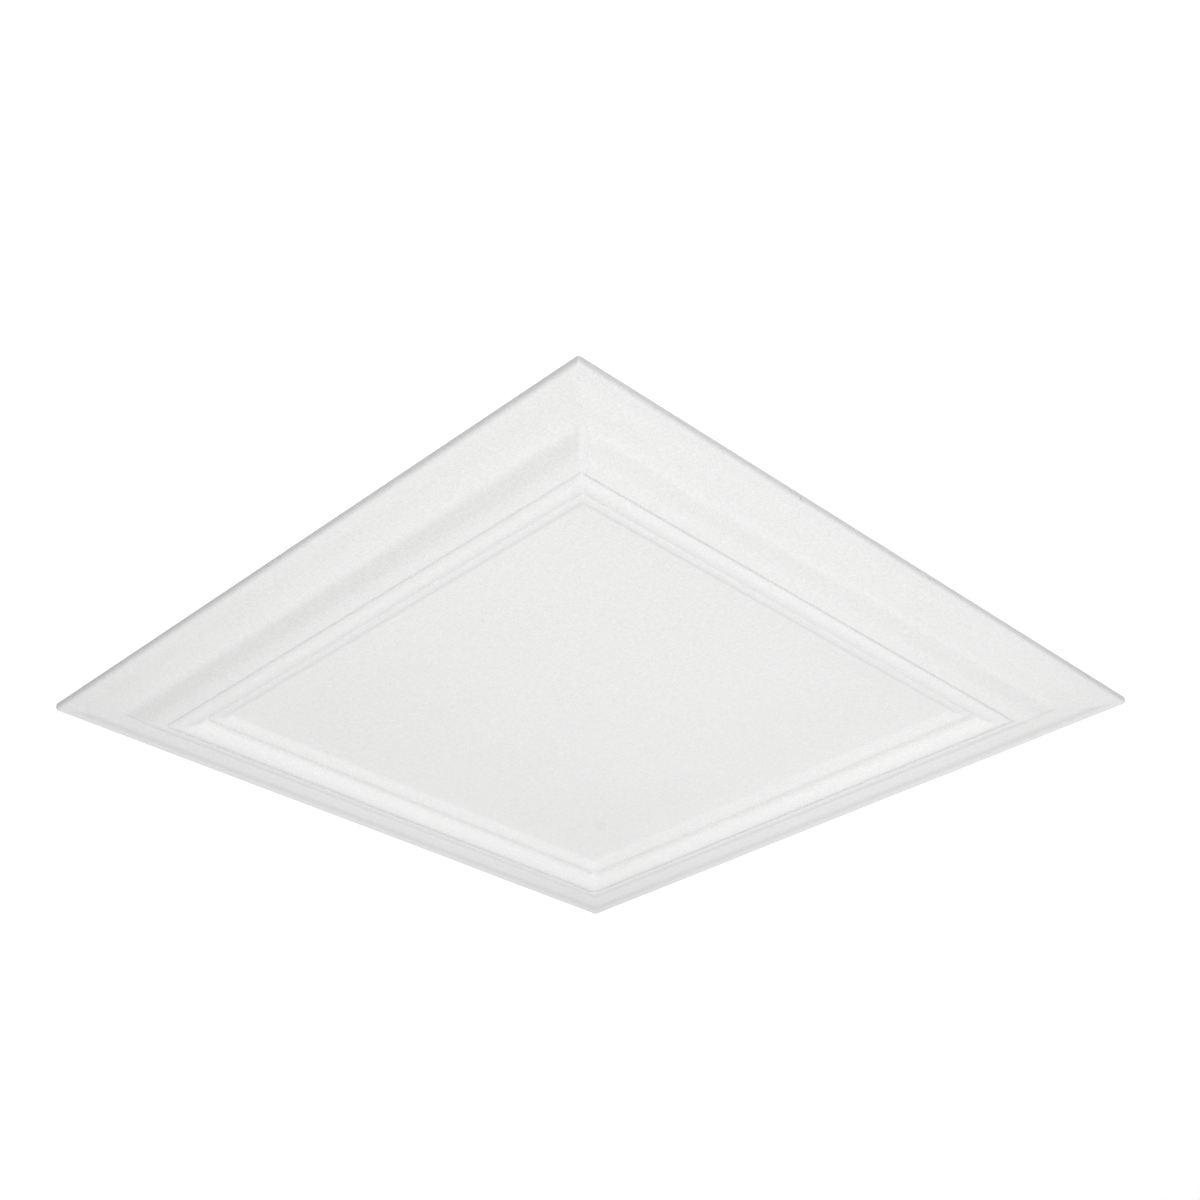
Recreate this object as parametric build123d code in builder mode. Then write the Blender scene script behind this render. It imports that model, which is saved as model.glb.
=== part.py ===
from build123d import *
import os

os.makedirs("parts", exist_ok=True)

# Square tile moulded in one piece, lying on its plain back with the face up
side = 500.0
edge_thickness = 5.0
edge_radius = 3.5
corner_radius = 2.5

# Moulded frame, from the outer edge inward: the width and the rise or fall of each member
land_width = 1.0
rim_width = 16.0
rim_rise = 2.6
border_width = 10.0
cove_width = 5.0
cove_rise = 1.8
slope_width = 5.0
slope_rise = 4.1
ovolo_width = 11.8
ovolo_rise = 4.2
quirk_width = 0.6
quirk_depth = 1.7
lip_width = 1.3
lip_rise = 1.3
bead_width = 4.4
bead_rise = 1.2
crown_width = 7.9
crown_fall = 1.9
nose_width = 4.7
nose_fall = 5.9
roll_width = 3.0
roll_rise = 1.7
thumb_width = 6.0
thumb_fall = 2.4
hollow_width = 3.2

# Position across the tile and height above the floor of each break in the section
edge_x = -side / 2
land_x = edge_x + edge_radius
rim_x = land_x + land_width
rim_middle_x = rim_x + rim_width / 2
rim_middle_z = edge_thickness + rim_rise / 2
border_x = rim_x + rim_width
border_z = edge_thickness + rim_rise
cove_x = border_x + border_width
slope_x = cove_x + cove_width
slope_z = border_z + cove_rise
ovolo_x = slope_x + slope_width
ovolo_z = slope_z + slope_rise
quirk_x = ovolo_x + ovolo_width
quirk_z = ovolo_z + ovolo_rise
lip_x = quirk_x + quirk_width
lip_z = quirk_z - quirk_depth
bead_x = lip_x + lip_width
bead_z = lip_z + lip_rise
crown_x = bead_x + bead_width
crown_z = bead_z + bead_rise
nose_x = crown_x + crown_width
nose_z = crown_z - crown_fall
roll_x = nose_x + nose_width
roll_z = nose_z - nose_fall
thumb_x = roll_x + roll_width
thumb_z = roll_z + roll_rise
hollow_x = thumb_x + thumb_width
hollow_z = thumb_z - thumb_fall
panel_x = hollow_x + hollow_width
panel_z = hollow_z - thumb_fall * hollow_width / thumb_width

with BuildPart() as tile:
    # Section across the frame, at the middle of one side
    with BuildSketch(Plane.XZ) as section:
        with BuildLine():
            Line((panel_x, 0), (edge_x, 0))
            Line((edge_x, 0), (edge_x, edge_thickness - edge_radius))
            TangentArc((edge_x, edge_thickness - edge_radius), (land_x, edge_thickness), tangent=(0, 1))
            Line((land_x, edge_thickness), (rim_x, edge_thickness))
            rim = TangentArc((rim_x, edge_thickness), (rim_middle_x, rim_middle_z), tangent=(1, 0))
            TangentArc((rim_middle_x, rim_middle_z), (border_x, border_z), tangent=rim % 1)
            Line((border_x, border_z), (cove_x, border_z))
            TangentArc((cove_x, border_z), (slope_x, slope_z), tangent=(1, 0))
            Line((slope_x, slope_z), (ovolo_x, ovolo_z))
            TangentArc((ovolo_x, ovolo_z), (quirk_x, quirk_z), tangent=(slope_width, slope_rise))
            Line((quirk_x, quirk_z), (lip_x, lip_z))
            Line((lip_x, lip_z), (bead_x, bead_z))
            TangentArc((crown_x, crown_z), (bead_x, bead_z), tangent=(-1, 0))
            crown = TangentArc((crown_x, crown_z), (nose_x, nose_z), tangent=(1, 0))
            TangentArc((nose_x, nose_z), (roll_x, roll_z), tangent=crown % 1)
            TangentArc((thumb_x, thumb_z), (roll_x, roll_z), tangent=(-1, 0))
            thumb = TangentArc((thumb_x, thumb_z), (hollow_x, hollow_z), tangent=(1, 0))
            TangentArc((hollow_x, hollow_z), (panel_x, panel_z), tangent=thumb % 1)
            Line((panel_x, panel_z), (panel_x, 0))
        make_face()
    # The section carried round the four sides, mitred at the corners
    with BuildLine() as run:
        Polyline((edge_x, 0), (edge_x, -edge_x), (-edge_x, -edge_x), (-edge_x, edge_x), (edge_x, edge_x), close=True)
    sweep(sections=section.sketch, path=run.wire(), transition=Transition.RIGHT)
    # Flat panel inside the frame
    with BuildSketch():
        Rectangle(-2 * panel_x, -2 * panel_x)
    extrude(amount=panel_z)
    # Tips of the four corners slightly rounded in plan
    with BuildSketch():
        RectangleRounded(side, side, corner_radius)
    extrude(amount=side, mode=Mode.INTERSECT)

tile.part.label = "ceiling_tile"
export_step(tile.part, "parts/ceiling_tile.step")
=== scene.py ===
import math
from functools import partial

import bpy
import numpy as np
from mathutils import Matrix, Vector


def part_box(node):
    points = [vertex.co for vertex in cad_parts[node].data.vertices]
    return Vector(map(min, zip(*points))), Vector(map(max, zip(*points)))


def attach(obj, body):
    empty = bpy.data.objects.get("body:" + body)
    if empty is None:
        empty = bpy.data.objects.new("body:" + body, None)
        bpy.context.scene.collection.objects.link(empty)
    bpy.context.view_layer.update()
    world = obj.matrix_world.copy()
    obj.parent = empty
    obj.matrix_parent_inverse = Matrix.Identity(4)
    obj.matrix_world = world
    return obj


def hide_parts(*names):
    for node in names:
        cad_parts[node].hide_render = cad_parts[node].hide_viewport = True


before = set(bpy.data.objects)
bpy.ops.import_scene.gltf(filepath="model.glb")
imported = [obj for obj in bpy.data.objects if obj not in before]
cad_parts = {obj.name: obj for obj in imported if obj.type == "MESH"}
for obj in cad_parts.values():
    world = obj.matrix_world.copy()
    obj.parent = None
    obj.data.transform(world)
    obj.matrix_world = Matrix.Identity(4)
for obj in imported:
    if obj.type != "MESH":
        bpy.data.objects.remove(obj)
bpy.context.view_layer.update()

# Ceiling tile
# One square of polystyrene foam, moulded in a closed tool: a thin edge with a low rise inside it, a flat
# border, an ovolo and a bead with a groove between them, a small inner thumb and a flat panel. It is glued
# up by its back.
tile_low, tile_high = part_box("ceiling_tile")
half_side = (tile_high.x - tile_low.x) / 2
edge_thickness, edge_radius = 0.0050, 0.0025
land_width = 0.0020
rim_width, rim_rise = 0.0160, 0.0026
border_width = 0.0100
cove_width, cove_rise = 0.0050, 0.0018
slope_width, slope_rise = 0.0050, 0.0041
ovolo_width, ovolo_rise = 0.0118, 0.0042
quirk_width, quirk_depth = 0.0006, 0.0022
lip_width, lip_rise = 0.0013, 0.0018
bead_width, bead_rise = 0.0044, 0.0012
crown_width, crown_fall = 0.0079, 0.0019
nose_width, nose_fall = 0.0047, 0.0059
roll_width, roll_rise = 0.0030, 0.0017
thumb_width, thumb_fall = 0.0060, 0.0024
hollow_width = 0.0032
fine_step, panel_step, back_step = 0.0001, 0.0083, 0.0250


def arc_points(start, end, turn):
    """Points after start on the arc to end, whose tangent turns by twice this angle along the way."""
    chord = end - start
    steps = max(2, round(chord.length / fine_step))
    heading = math.atan2(chord.y, chord.x) - turn
    points = []
    for i in range(1, steps + 1):
        part = turn * i / steps
        reach = chord.length * math.sin(part) / math.sin(turn)
        points.append(start + reach * Vector((math.cos(heading + part), math.sin(heading + part))))
    return points


# The breaks in the moulded section, as inset from the edge and height above the back
edge_foot = Vector((0, edge_thickness - edge_radius))
land = Vector((edge_radius, edge_thickness))
rim = land + Vector((land_width, 0))
rim_middle = rim + Vector((rim_width, rim_rise)) / 2
border = rim + Vector((rim_width, rim_rise))
cove = border + Vector((border_width, 0))
slope = cove + Vector((cove_width, cove_rise))
ovolo = slope + Vector((slope_width, slope_rise))
quirk = ovolo + Vector((ovolo_width, ovolo_rise))
lip = quirk + Vector((quirk_width, -quirk_depth))
bead = lip + Vector((lip_width, lip_rise))
crown = bead + Vector((bead_width, bead_rise))
nose = crown + Vector((crown_width, -crown_fall))
roll = nose + Vector((nose_width, -nose_fall))
thumb = roll + Vector((roll_width, roll_rise))
hollow = thumb + Vector((thumb_width, -thumb_fall))
panel = hollow + Vector((hollow_width, -thumb_fall * hollow_width / thumb_width))

# Half the angle that each arc turns through, so that the arcs join smoothly except in the creases
edge_turn = math.pi / 4
rim_turn = math.atan2(rim_rise, rim_width)
cove_turn = math.atan2(cove_rise, cove_width)
ovolo_turn = math.atan2(ovolo_rise, ovolo_width) - math.atan2(slope_rise, slope_width)
bead_turn = math.atan2(bead_rise, bead_width)
crown_turn = math.atan2(crown_fall, crown_width)
nose_turn = math.atan2(nose_fall, nose_width) - 2 * crown_turn
roll_turn = math.atan2(roll_rise, roll_width)
thumb_turn = math.atan2(thumb_fall, thumb_width)

moulded = [Vector((0, 0)), edge_foot]
moulded += arc_points(edge_foot, land, -edge_turn)
moulded += [rim]
moulded += arc_points(rim, rim_middle, rim_turn)
moulded += arc_points(rim_middle, border, -rim_turn)
moulded += [cove]
moulded += arc_points(cove, slope, cove_turn)
moulded += [ovolo]
moulded += arc_points(ovolo, quirk, ovolo_turn)
moulded += [lip, bead]
moulded += arc_points(bead, crown, -bead_turn)
moulded += arc_points(crown, nose, -crown_turn)
moulded += arc_points(nose, roll, -nose_turn)
moulded += arc_points(roll, thumb, -roll_turn)
moulded += arc_points(thumb, hollow, -thumb_turn)
moulded += arc_points(hollow, panel, thumb_turn)
moulded += [panel + Vector((panel_step, 0))]

# The same line in even steps, with its creases eased as foam fills them. Every fourth step is kept.
softness, softness_reach = 0.0002, 3
fine_steps_each = 4
line = np.array(moulded)
run = np.concatenate([[0], np.cumsum(np.linalg.norm(np.diff(line, axis=0), axis=1))])
fine_steps = round(run[-1] / fine_step / fine_steps_each) * fine_steps_each
even = np.linspace(0, run[-1], fine_steps + 1)
fine = np.stack([np.interp(even, run, line[:, axis]) for axis in (0, 1)], axis=1)
spread = round(softness_reach * softness / fine_step)
weights = np.exp(-0.5 * (np.arange(-spread, spread + 1) * fine_step / softness) ** 2)
weights /= weights.sum()
padded = np.pad(fine, ((spread, spread), (0, 0)), mode="reflect", reflect_type="odd")
eased = np.stack([np.convolve(padded[:, axis], weights, mode="valid") for axis in (0, 1)], axis=1)
section = [tuple(point) for point in eased[::fine_steps_each]]

# From the middle of the back, out round the edge and over the face to the middle of the panel
panel_inset, panel_height = section[-1]
panel_half = half_side - panel_inset
back_steps = round(half_side / back_step)
panel_steps = round(panel_half / panel_step)
back_run = [(half_side * (1 - i / back_steps), 0.0) for i in range(back_steps)]
panel_run = [(panel_inset + panel_half * i / panel_steps, panel_height) for i in range(1, panel_steps + 1)]
section = back_run + section + panel_run


def add_node(tree, kind, feeds=(), **settings):
    """A node of a tree: its settings, and what feeds its inputs, by name or place. Gives its outputs."""
    node = tree.nodes.new(kind)
    for name, value in settings.items():
        setattr(node, name, value)
    for socket, feed in dict(feeds).items():
        if isinstance(feed, bpy.types.NodeSocket):
            tree.links.new(feed, node.inputs[socket])
        else:
            node.inputs[socket].default_value = feed
    return node.outputs


def calculate(tree, operation, *feeds, limited=False):
    """A sum in a tree, kept between nought and one if it is limited."""
    settings = {"operation": operation, "use_clamp": limited}
    return add_node(tree, "ShaderNodeMath", enumerate(feeds), **settings)["Value"]


# Matt white foam: fused foam beads a few millimetres across under a fine grained skin, with a painted
# highlight on the frame's bead, a round mark from the tool and a fleck on the panel, and two nicks in the
# right edge with painted shade in them.
# A mark has a centre, a radius and how much darker it is.
foam_white, foam_warmth, foam_gloss = 0.84, 0.995, 0.3
least_roughness, roughness_spread = 0.65, 0.2
foam_bead_size, foam_bead_tone, foam_bead_dip = 0.0024, 0.012, 0.5
grain_size, grain_tone = 0.0009, 0.060
speckle_size, speckle_tone = 0.0007, 0.085
patch_size, patch_tone = 0.080, 0.012
noise_detail = 2.0
# The painted highlight on the frame's bead: how far it fades in at the roll, and how much lighter it makes
# the foam
highlight_fade, highlight_tone = 0.0017, 0.028
skin_relief, skin_strength = 0.0003, 0.35
mark_blur, mark_dip = 0.2, 0.5
marks = {
    "tool mark, near half": ((0.1175, 0.1249, 0.0090), 0.0046, 0.030),
    "tool mark, far half": ((0.1227, 0.1301, 0.0090), 0.0046, 0.030),
    "fleck": ((-0.0377, -0.1266, 0.0090), 0.0012, 0.10),
    # The two edge nicks are small dents. Their darker tone is painted shade inside them.
    "edge nick": ((-0.2497, -0.0800, 0.0030), 0.0011, 0.16),
    "small edge nick": ((-0.2497, 0.0370, 0.0030), 0.0009, 0.12),
}
foam = bpy.data.materials.new("white_foam")
foam.use_nodes = True
add_foam = partial(add_node, foam.node_tree)
foam_sum = partial(calculate, foam.node_tree)


def foam_mask(value, nought_at, one_at):
    """A smooth mask on the foam, by where a value lies between these two."""
    ends = {"Value": value, "From Min": nought_at, "From Max": one_at}
    return add_foam("ShaderNodeMapRange", ends, interpolation_type="SMOOTHSTEP")["Result"]


place = add_foam("ShaderNodeTexCoord")["Object"]
foam_beads = add_foam("ShaderNodeTexVoronoi", {"Vector": place, "Scale": 1 / foam_bead_size})
speckle = add_foam("ShaderNodeTexVoronoi", {"Vector": place, "Scale": 1 / speckle_size})
grain = add_foam("ShaderNodeTexNoise", {"Vector": place, "Scale": 1 / grain_size, "Detail": noise_detail})[0]
patch = add_foam("ShaderNodeTexNoise", {"Vector": place, "Scale": 1 / patch_size, "Detail": noise_detail})[0]
foam_bead_shade = add_foam("ShaderNodeSeparateColor", {"Color": foam_beads["Color"]})["Red"]
speckle_shade = add_foam("ShaderNodeSeparateColor", {"Color": speckle["Color"]})["Red"]
tone = foam_white - (foam_bead_tone + speckle_tone + grain_tone + patch_tone) / 2
tone = foam_sum("MULTIPLY_ADD", foam_bead_shade, foam_bead_tone, tone)
tone = foam_sum("MULTIPLY_ADD", speckle_shade, speckle_tone, tone)
tone = foam_sum("MULTIPLY_ADD", grain, grain_tone, tone)
tone = foam_sum("MULTIPLY_ADD", patch, patch_tone, tone)

across = add_foam("ShaderNodeSeparateXYZ", {"Vector": place})
from_middle = foam_sum("MAXIMUM", foam_sum("ABSOLUTE", across["X"]), foam_sum("ABSOLUTE", across["Y"]))
# Painted highlight: the tone is lighter over the frame's bead, from its foot past the crown and nose to the
# roll, where the lamps light it well.
highlight_outside = foam_mask(from_middle, half_side - bead.x, half_side - crown.x)
highlight_inside = foam_mask(from_middle, half_side - roll.x, half_side - roll.x + highlight_fade)
bead_highlight = foam_sum("MULTIPLY", highlight_outside, highlight_inside)
tone = foam_sum("MULTIPLY_ADD", bead_highlight, highlight_tone, tone)

relief = foam_sum("MULTIPLY_ADD", foam_beads["Distance"], -foam_bead_dip, grain)
# Each mark darkens the tone and dents the skin. For the edge nicks, the darkening is painted shade in the
# dent.
for mark_centre, mark_radius, mark_tone in marks.values():
    away = add_foam("ShaderNodeVectorMath", {0: place, 1: mark_centre}, operation="DISTANCE")["Value"]
    mark = foam_mask(away, mark_radius * (1 + mark_blur), mark_radius * (1 - mark_blur))
    tone = foam_sum("MULTIPLY_ADD", mark, -mark_tone, tone)
    relief = foam_sum("MULTIPLY_ADD", mark, -mark_dip, relief)

blue = foam_sum("MULTIPLY", tone, foam_warmth)
colour = add_foam("ShaderNodeCombineColor", {"Red": tone, "Green": tone, "Blue": blue})["Color"]
roughness = foam_sum("MULTIPLY_ADD", grain, roughness_spread, least_roughness)
skin = {"Height": relief, "Strength": skin_strength, "Distance": skin_relief}
normal = add_foam("ShaderNodeBump", skin)["Normal"]
foam_shader = foam.node_tree.nodes["Principled BSDF"]
foam_shader.inputs["Specular IOR Level"].default_value = foam_gloss
for socket, feed in {"Base Color": colour, "Roughness": roughness, "Normal": normal}.items():
    foam.node_tree.links.new(feed, foam_shader.inputs[socket])

# The tree that carries the section round the tile. The corners' rounds grow slightly from the edge inward.
corner_radius, corner_growth = 0.0015, 0.02
stations, straight_share = 49, 0.9
seam_gap = 1e-5
wave_height, wave_scale, wave_detail = 0.0007, 9.0, 1.0
noise_middle = 0.5
sharp_angle = math.radians(40)
mould_inputs = {
    "Half Side": ("NodeSocketFloat", half_side),
    "Stations": ("NodeSocketInt", stations),
    "Corner Radius": ("NodeSocketFloat", corner_radius),
    "Corner Growth": ("NodeSocketFloat", corner_growth),
    "Straight Share": ("NodeSocketFloat", straight_share),
    "Wave Height": ("NodeSocketFloat", wave_height),
    "Edge Thickness": ("NodeSocketFloat", edge_thickness),
    "Material": ("NodeSocketMaterial", foam),
}
moulding = bpy.data.node_groups.new("moulded_tile", "GeometryNodeTree")
moulding.is_modifier = True
moulding.interface.new_socket("Section", in_out="INPUT", socket_type="NodeSocketGeometry")
mould_sockets = {}
for name, (kind, value) in mould_inputs.items():
    mould_sockets[name] = moulding.interface.new_socket(name, in_out="INPUT", socket_type=kind)
moulding.interface.new_socket("Tile", in_out="OUTPUT", socket_type="NodeSocketGeometry")
add_mould = partial(add_node, moulding)
mould_sum = partial(calculate, moulding)
given = moulding.nodes.new("NodeGroupInput").outputs
position = add_mould("GeometryNodeInputPosition")["Position"]
index = add_mould("GeometryNodeInputIndex")["Index"]

# A quarter of the tile: every point of the section carried along one side, from -1 at one end to 1 at the
# other, and half way round the corners at its ends
section_size = add_mould("GeometryNodeAttributeDomainSize", {"Geometry": given["Section"]}, component="MESH")
strip_sizes = {"Size X": 1.0, "Size Y": 2.0}
strip_sizes |= {"Vertices X": section_size["Point Count"], "Vertices Y": given["Stations"]}
strip = add_mould("GeometryNodeMeshGrid", strip_sizes)["Mesh"]
ring = mould_sum("FLOOR", mould_sum("DIVIDE", index, given["Stations"]))
point_source = {"Geometry": given["Section"], "Value": position, "Index": ring}
point = add_mould("GeometryNodeSampleIndex", point_source, data_type="FLOAT_VECTOR")["Value"]
point_axes = add_mould("ShaderNodeSeparateXYZ", {"Vector": point})
share = add_mould("ShaderNodeSeparateXYZ", {"Vector": position})["Y"]
reach = mould_sum("SUBTRACT", given["Half Side"], point_axes["X"])
grown_radius = mould_sum("MULTIPLY_ADD", point_axes["X"], given["Corner Growth"], given["Corner Radius"])
radius = mould_sum("MINIMUM", grown_radius, reach)
straight = mould_sum("SUBTRACT", reach, radius)
far = mould_sum("ABSOLUTE", share)
run_share = mould_sum("MINIMUM", mould_sum("DIVIDE", far, given["Straight Share"]), 1.0)
corner_share = mould_sum("SUBTRACT", far, given["Straight Share"])
corner_length = mould_sum("SUBTRACT", 1.0, given["Straight Share"])
corner_part = mould_sum("DIVIDE", corner_share, corner_length, limited=True)
corner_turn = mould_sum("MULTIPLY", corner_part, math.pi / 4)
past = mould_sum("MULTIPLY", radius, mould_sum("SINE", corner_turn))
along = mould_sum("MULTIPLY_ADD", straight, run_share, past)
side_along = mould_sum("MULTIPLY", along, mould_sum("SIGN", share))
outward = mould_sum("MULTIPLY_ADD", radius, mould_sum("COSINE", corner_turn), straight)
side_outward = mould_sum("MULTIPLY", outward, -1.0)
placed_axes = {"X": side_along, "Y": side_outward, "Z": point_axes["Z"]}
placed = add_mould("ShaderNodeCombineXYZ", placed_axes)["Vector"]
quarter = add_mould("GeometryNodeSetPosition", {"Geometry": strip, "Position": placed})["Geometry"]

# The four quarters, each a quarter turn on from the last, joined where they meet
centre = add_mould("GeometryNodeMeshLine", {"Count": 4, "Offset": (0, 0, 0)})["Mesh"]
turn = add_mould("ShaderNodeCombineXYZ", {"Z": mould_sum("MULTIPLY", index, math.pi / 2)})["Vector"]
turned = {"Points": centre, "Instance": quarter, "Rotation": turn}
quarters = add_mould("GeometryNodeInstanceOnPoints", turned)["Instances"]
realized = add_mould("GeometryNodeRealizeInstances", {"Geometry": quarters})["Geometry"]
closed = add_mould("GeometryNodeMergeByDistance", {"Geometry": realized, "Distance": seam_gap})["Geometry"]

# The slight unevenness of a foam face, none of it on the back
wave_source = {"Vector": position, "Scale": wave_scale, "Detail": wave_detail}
wave = mould_sum("SUBTRACT", add_mould("ShaderNodeTexNoise", wave_source)[0], noise_middle)
height = add_mould("ShaderNodeSeparateXYZ", {"Vector": position})["Z"]
raised = mould_sum("DIVIDE", height, given["Edge Thickness"], limited=True)
swell = mould_sum("MULTIPLY", mould_sum("MULTIPLY", wave, given["Wave Height"]), raised)
swell_offset = add_mould("ShaderNodeCombineXYZ", {"Z": swell})["Vector"]
uneven = add_mould("GeometryNodeSetPosition", {"Geometry": closed, "Offset": swell_offset})["Geometry"]
bent = add_mould("GeometryNodeInputMeshEdgeAngle")["Unsigned Angle"]
crisp = mould_sum("GREATER_THAN", bent, sharp_angle)
edges = {"Geometry": uneven, "Selection": crisp, "Shade Smooth": False}
shaded = add_mould("GeometryNodeSetShadeSmooth", edges, domain="EDGE")["Geometry"]
coated = {"Geometry": shaded, "Material": given["Material"]}
finished = add_mould("GeometryNodeSetMaterial", coated)["Geometry"]
result = moulding.nodes.new("NodeGroupOutput")
moulding.links.new(finished, result.inputs["Tile"])

section_mesh = bpy.data.meshes.new("tile_section")
section_points = [(inset, 0, rise) for inset, rise in section]
section_edges = [(i, i + 1) for i in range(len(section) - 1)]
section_mesh.from_pydata(section_points, section_edges, [])
section_object = bpy.data.objects.new("tile_section", section_mesh)
bpy.context.scene.collection.objects.link(section_object)
modifier = section_object.modifiers.new("moulded_tile", "NODES")
modifier.node_group = moulding
for name, (kind, value) in mould_inputs.items():
    modifier[mould_sockets[name].identifier] = value
evaluated = section_object.evaluated_get(bpy.context.evaluated_depsgraph_get())
tile_mesh = bpy.data.meshes.new_from_object(evaluated)
section_object.modifiers.remove(modifier)
bpy.data.objects.remove(section_object)
tile = bpy.data.objects.new("moulded_tile", tile_mesh)
bpy.context.scene.collection.objects.link(tile)
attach(tile, "root")
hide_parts("ceiling_tile")

# Floor
# A plain flat floor under the tile, wide enough to fill the picture. It glows for the camera alone, so that
# it shows as clean white and the glow puts no light on the tile.
floor_half = 4.0
floor_tone, floor_glow = 0.6, 0.75
floor_mesh = bpy.data.meshes.new("floor")
floor_corners = [(x * floor_half, y * floor_half, 0) for x, y in ((-1, -1), (1, -1), (1, 1), (-1, 1))]
floor_mesh.from_pydata(floor_corners, [], [(0, 1, 2, 3)])
floor = bpy.data.objects.new("floor", floor_mesh)
bpy.context.scene.collection.objects.link(floor)
white = bpy.data.materials.new("white_floor")
white.use_nodes = True
white_shader = white.node_tree.nodes["Principled BSDF"]
white_shader.inputs["Base Color"].default_value = (floor_tone, floor_tone, floor_tone, 1)
white_shader.inputs["Roughness"].default_value = 1.0
white_shader.inputs["Emission Color"].default_value = (1, 1, 1, 1)
seen = add_node(white.node_tree, "ShaderNodeLightPath")["Is Camera Ray"]
glow = calculate(white.node_tree, "MULTIPLY", seen, floor_glow)
white.node_tree.links.new(glow, white_shader.inputs["Emission Strength"])
floor_mesh.materials.append(white)

# Light
# An even room, soft lamps high on the camera's side, over the right corner and at the far and left corners,
# lamps low at three sides, and a weak one close above the panel for the frame's inner slopes.
room_strength = 0.273
world = bpy.data.worlds.new("room")
bpy.context.scene.world = world
world.use_nodes = True
room = world.node_tree.nodes["Background"]
room.inputs["Color"].default_value = (1, 1, 1, 1)
room.inputs["Strength"].default_value = room_strength
lamp_size = 0.5
lamps = {
    "camera_side": ((-0.6, -0.6, 1.2), 7.8),
    "right_overhead": ((-0.3, 0.3, 0.7), 1.04),
    "far_corner": ((0.6, 0.6, 1.2), 2.45),
    "left_corner": ((0.6, -0.6, 1.2), 1.64),
    "over_panel": ((0.12, 0.12, 0.35), 0.18),
    "right_side": ((-1.2, 0, 0.25), 2.0),
    "left_side": ((0, -1.4, 0.6), 2.0),
    "far_side": ((1.4, 0, 0.6), 0.6),
}
for lamp_name, (lamp_place, lamp_power) in lamps.items():
    lamp_data = bpy.data.lights.new(lamp_name, "AREA")
    lamp_data.shape = "DISK"
    lamp_data.size = lamp_size
    lamp_data.energy = lamp_power
    lamp = bpy.data.objects.new(lamp_name, lamp_data)
    bpy.context.scene.collection.objects.link(lamp)
    lamp.location = lamp_place
    lamp.visible_camera = False
    lamp.rotation_euler = (-lamp.location).to_track_quat("-Z", "Y").to_euler()

# Camera
# Outside the near corner, looking down, and turned upside down, so that the near corner is at the top of the
# picture, as on a ceiling.
sensor_width, lens_length = 36, 54.80
camera_place = Vector((-0.7590, -0.7350, 0.5884))
camera_aim = Vector((-0.0999, -0.0880, 0.0050))
camera_roll = math.radians(-179.9)
camera_data = bpy.data.cameras.new("camera")
camera_data.sensor_width = sensor_width
camera_data.lens = lens_length
camera = bpy.data.objects.new("camera", camera_data)
bpy.context.scene.collection.objects.link(camera)
sight = (camera_aim - camera_place).to_track_quat("-Z", "Y").to_matrix().to_4x4()
camera.matrix_world = Matrix.Translation(camera_place) @ sight @ Matrix.Rotation(-camera_roll, 4, "Z")
bpy.context.scene.camera = camera
bpy.context.scene.view_settings.view_transform = "Standard"
